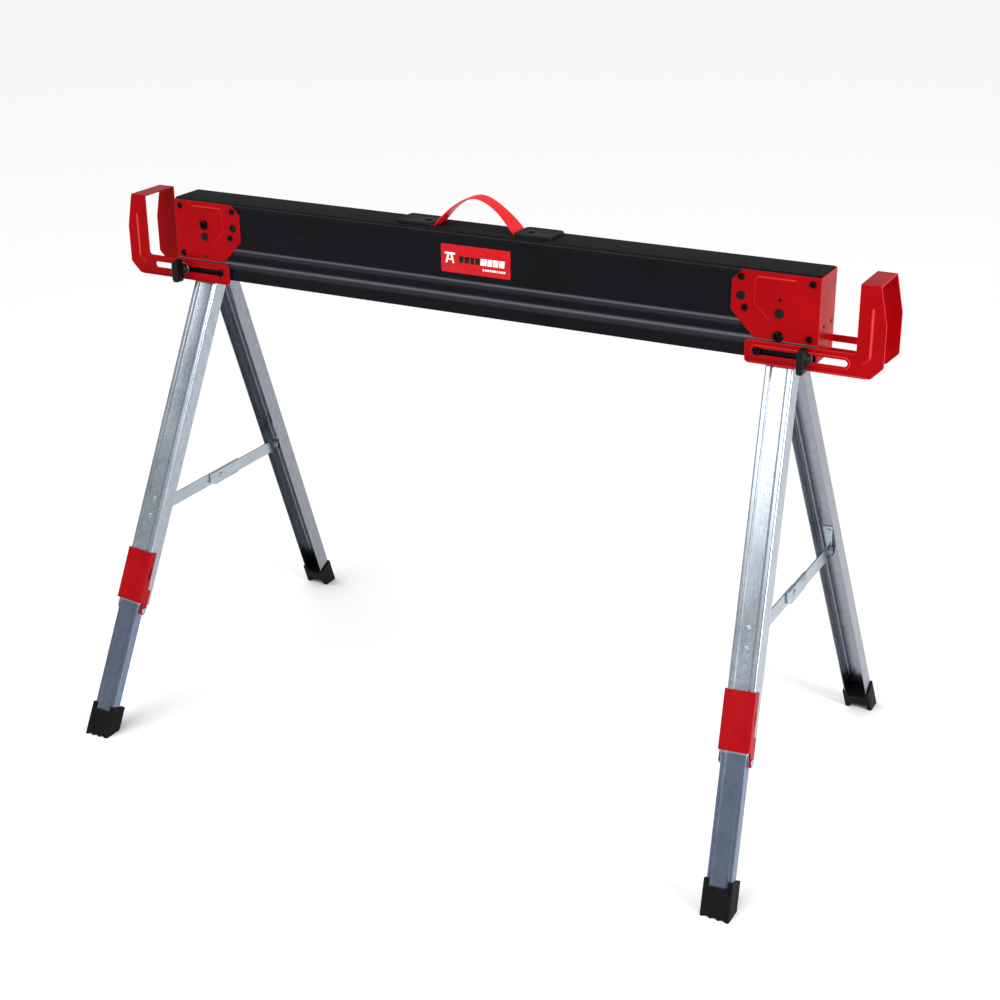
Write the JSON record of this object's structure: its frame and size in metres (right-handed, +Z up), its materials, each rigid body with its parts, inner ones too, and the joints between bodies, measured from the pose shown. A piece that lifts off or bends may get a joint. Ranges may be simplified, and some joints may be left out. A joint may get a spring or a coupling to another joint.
{
  "type": "folding sawhorse",
  "caption": "Folding steel sawhorse with a padded top beam, telescoping folding legs, sliding lumber supports at the ends and a strap handle.",
  "frame": {"origin": "on the floor under the middle of the beam", "axes": "+X along the beam, +Y to the side without the knobs and label, +Z up"},
  "size_m": [1.174, 0.6408, 0.815],
  "materials": {
    "black_paint": "satin",
    "red_paint": "satin",
    "red_plastic": "semi-gloss",
    "zinc_steel": "satin",
    "black_plastic": "matte",
    "grip": "textured matte",
    "rubber": "matte",
    "label": "printed"
  },
  "bodies": {
    "beam": {"beam_shell": "black_paint", "grip_surface": "grip", "handle_strap": "red_plastic", "handle_clamps": "black_plastic", "handle_rivets": "zinc_steel", "label_plate": "label", "left_grip_strip": "grip", "left_end_plate": "red_paint", "left_plate_screws": "black_paint", "left_fold_bolts": "black_paint", "left_guide_screws": "black_paint", "left_clamp_bolt": "zinc_steel", "left_bump_stops": "rubber", "right_grip_strip": "grip", "right_end_plate": "red_paint", "right_plate_screws": "black_paint", "right_fold_bolts": "black_paint", "right_guide_screws": "black_paint", "right_clamp_bolt": "zinc_steel", "right_bump_stops": "rubber"},
    "left_pivot": {"left_pivot_bushes": "zinc_steel"},
    "left_yoke": {"left_leg_yoke": "zinc_steel", "left_spread_pin": "zinc_steel"},
    "left_front_leg": {"left_front_leg": "zinc_steel", "left_front_brace_bracket": "zinc_steel", "left_front_bracket_rivets": "zinc_steel", "left_latch_pins": "zinc_steel"},
    "left_rear_leg": {"left_rear_leg": "zinc_steel", "left_rear_brace_bracket": "zinc_steel", "left_rear_bracket_rivets": "zinc_steel", "left_rear_foot": "rubber"},
    "left_extension": {"left_leg_extension": "zinc_steel", "left_front_foot": "rubber"},
    "left_latch": {"left_latch_collar": "red_plastic"},
    "left_front_link": {"left_brace_link_front": "zinc_steel"},
    "left_rear_link": {"left_brace_link_rear": "zinc_steel"},
    "left_support": {"left_support_arm": "red_paint"},
    "left_knob": {"left_t_knob": "black_plastic"},
    "left_button": {"left_lock_button": "rubber"},
    "right_pivot": {"right_pivot_bushes": "zinc_steel"},
    "right_yoke": {"right_leg_yoke": "zinc_steel", "right_spread_pin": "zinc_steel"},
    "right_front_leg": {"right_front_leg": "zinc_steel", "right_front_brace_bracket": "zinc_steel", "right_front_bracket_rivets": "zinc_steel", "right_latch_pins": "zinc_steel"},
    "right_rear_leg": {"right_rear_leg": "zinc_steel", "right_rear_brace_bracket": "zinc_steel", "right_rear_bracket_rivets": "zinc_steel", "right_rear_foot": "rubber"},
    "right_extension": {"right_leg_extension": "zinc_steel", "right_front_foot": "rubber"},
    "right_latch": {"right_latch_collar": "red_plastic"},
    "right_front_link": {"right_brace_link_front": "zinc_steel"},
    "right_rear_link": {"right_brace_link_rear": "zinc_steel"},
    "right_support": {"right_support_arm": "red_paint"},
    "right_knob": {"right_t_knob": "black_plastic"},
    "right_button": {"right_lock_button": "rubber"}
  },
  "joints": [
    {"name": "left_leg_swing", "type": "hinge", "parent": "beam", "child": "left_pivot", "pos_m": [-0.4475, 0, 0.7335], "axis": [0, -1, 0], "range_deg": [0, 15]},
    {"name": "left_leg_fold", "type": "hinge", "parent": "left_pivot", "child": "left_yoke", "pos_m": [-0.4475, 0, 0.7335], "axis": [0, -1, 0], "range_deg": [0, 79.2]},
    {"name": "left_front_spread", "type": "hinge", "parent": "left_yoke", "child": "left_front_leg", "pos_m": [-0.45148, 0, 0.68], "axis": [0.9973, 0, -0.0741], "range_deg": [0, 22.88]},
    {"name": "left_rear_spread", "type": "hinge", "parent": "left_yoke", "child": "left_rear_leg", "pos_m": [-0.45148, 0, 0.68], "axis": [0.9973, 0, -0.0741], "range_deg": [-22.88, 0]},
    {"name": "left_front_link_pivot", "type": "hinge", "parent": "left_front_leg", "child": "left_front_link", "pos_m": [-0.47826, -0.15673, 0.31948], "axis": [0.9973, 0, -0.0741], "range_deg": [0, 65.71]},
    {"name": "left_rear_link_pivot", "type": "hinge", "parent": "left_rear_leg", "child": "left_rear_link", "pos_m": [-0.47826, 0.15673, 0.31948], "axis": [0.9973, 0, -0.0741], "range_deg": [-65.71, 0]},
    {"name": "left_leg_extend", "type": "slide", "parent": "left_front_leg", "child": "left_extension", "axis": [0.0677, 0.4071, 0.9109], "range_m": [-0.08, 0]},
    {"name": "left_latch_flip", "type": "hinge", "parent": "left_front_leg", "child": "left_latch", "pos_m": [-0.48867, -0.22479, 0.17942], "axis": [-0.9973, 0, 0.0741], "range_deg": [-90, 0]},
    {"name": "left_support_slide", "type": "slide", "parent": "beam", "child": "left_support", "axis": [1, 0, 0], "range_m": [0, 0.049]},
    {"name": "left_knob_turn", "type": "hinge", "parent": "beam", "child": "left_knob", "pos_m": [-0.487, -0.045, 0.664], "axis": [0, 1, 0], "continuous": true},
    {"name": "left_button_press", "type": "slide", "parent": "beam", "child": "left_button", "axis": [0, 1, 0], "range_m": [0, 0.0015], "stiffness_N_per_m": 400},
    {"name": "right_leg_swing", "type": "hinge", "parent": "beam", "child": "right_pivot", "pos_m": [0.4475, 0, 0.6855], "axis": [0, 1, 0], "range_deg": [0, 15]},
    {"name": "right_leg_fold", "type": "hinge", "parent": "right_pivot", "child": "right_yoke", "pos_m": [0.4475, 0, 0.6855], "axis": [0, 1, 0], "range_deg": [0, 79.5]},
    {"name": "right_front_spread", "type": "hinge", "parent": "right_yoke", "child": "right_front_leg", "pos_m": [0.44794, 0, 0.68], "axis": [0.9969, 0, 0.0793], "range_deg": [0, 22.88]},
    {"name": "right_rear_spread", "type": "hinge", "parent": "right_yoke", "child": "right_rear_leg", "pos_m": [0.44794, 0, 0.68], "axis": [0.9969, 0, 0.0793], "range_deg": [-22.88, 0]},
    {"name": "right_front_link_pivot", "type": "hinge", "parent": "right_front_leg", "child": "right_front_link", "pos_m": [0.47659, -0.15673, 0.31963], "axis": [0.9969, 0, 0.0793], "range_deg": [0, 65.71]},
    {"name": "right_rear_link_pivot", "type": "hinge", "parent": "right_rear_leg", "child": "right_rear_link", "pos_m": [0.47659, 0.15673, 0.31963], "axis": [0.9969, 0, 0.0793], "range_deg": [-65.71, 0]},
    {"name": "right_leg_extend", "type": "slide", "parent": "right_front_leg", "child": "right_extension", "axis": [-0.0724, 0.4071, 0.9105], "range_m": [-0.08, 0]},
    {"name": "right_latch_flip", "type": "hinge", "parent": "right_front_leg", "child": "right_latch", "pos_m": [0.48772, -0.22479, 0.17961], "axis": [-0.9969, 0, -0.0793], "range_deg": [-90, 0]},
    {"name": "right_support_slide", "type": "slide", "parent": "beam", "child": "right_support", "axis": [-1, 0, 0], "range_m": [0, 0.049]},
    {"name": "right_knob_turn", "type": "hinge", "parent": "beam", "child": "right_knob", "pos_m": [0.487, -0.045, 0.664], "axis": [0, 1, 0], "continuous": true},
    {"name": "right_button_press", "type": "slide", "parent": "beam", "child": "right_button", "axis": [0, 1, 0], "range_m": [0, 0.0015], "stiffness_N_per_m": 400}
  ],
  "couplings": [
    {"joint": "left_front_spread", "follows": "left_leg_fold", "ratio": 0.28885},
    {"joint": "left_rear_spread", "follows": "left_leg_fold", "ratio": -0.28885},
    {"joint": "left_front_link_pivot", "follows": "left_leg_fold", "ratio": 0.82969},
    {"joint": "left_rear_link_pivot", "follows": "left_leg_fold", "ratio": -0.82969},
    {"joint": "right_front_spread", "follows": "right_leg_fold", "ratio": 0.28776},
    {"joint": "right_rear_spread", "follows": "right_leg_fold", "ratio": -0.28776},
    {"joint": "right_front_link_pivot", "follows": "right_leg_fold", "ratio": 0.82656},
    {"joint": "right_rear_link_pivot", "follows": "right_leg_fold", "ratio": -0.82656}
  ]
}
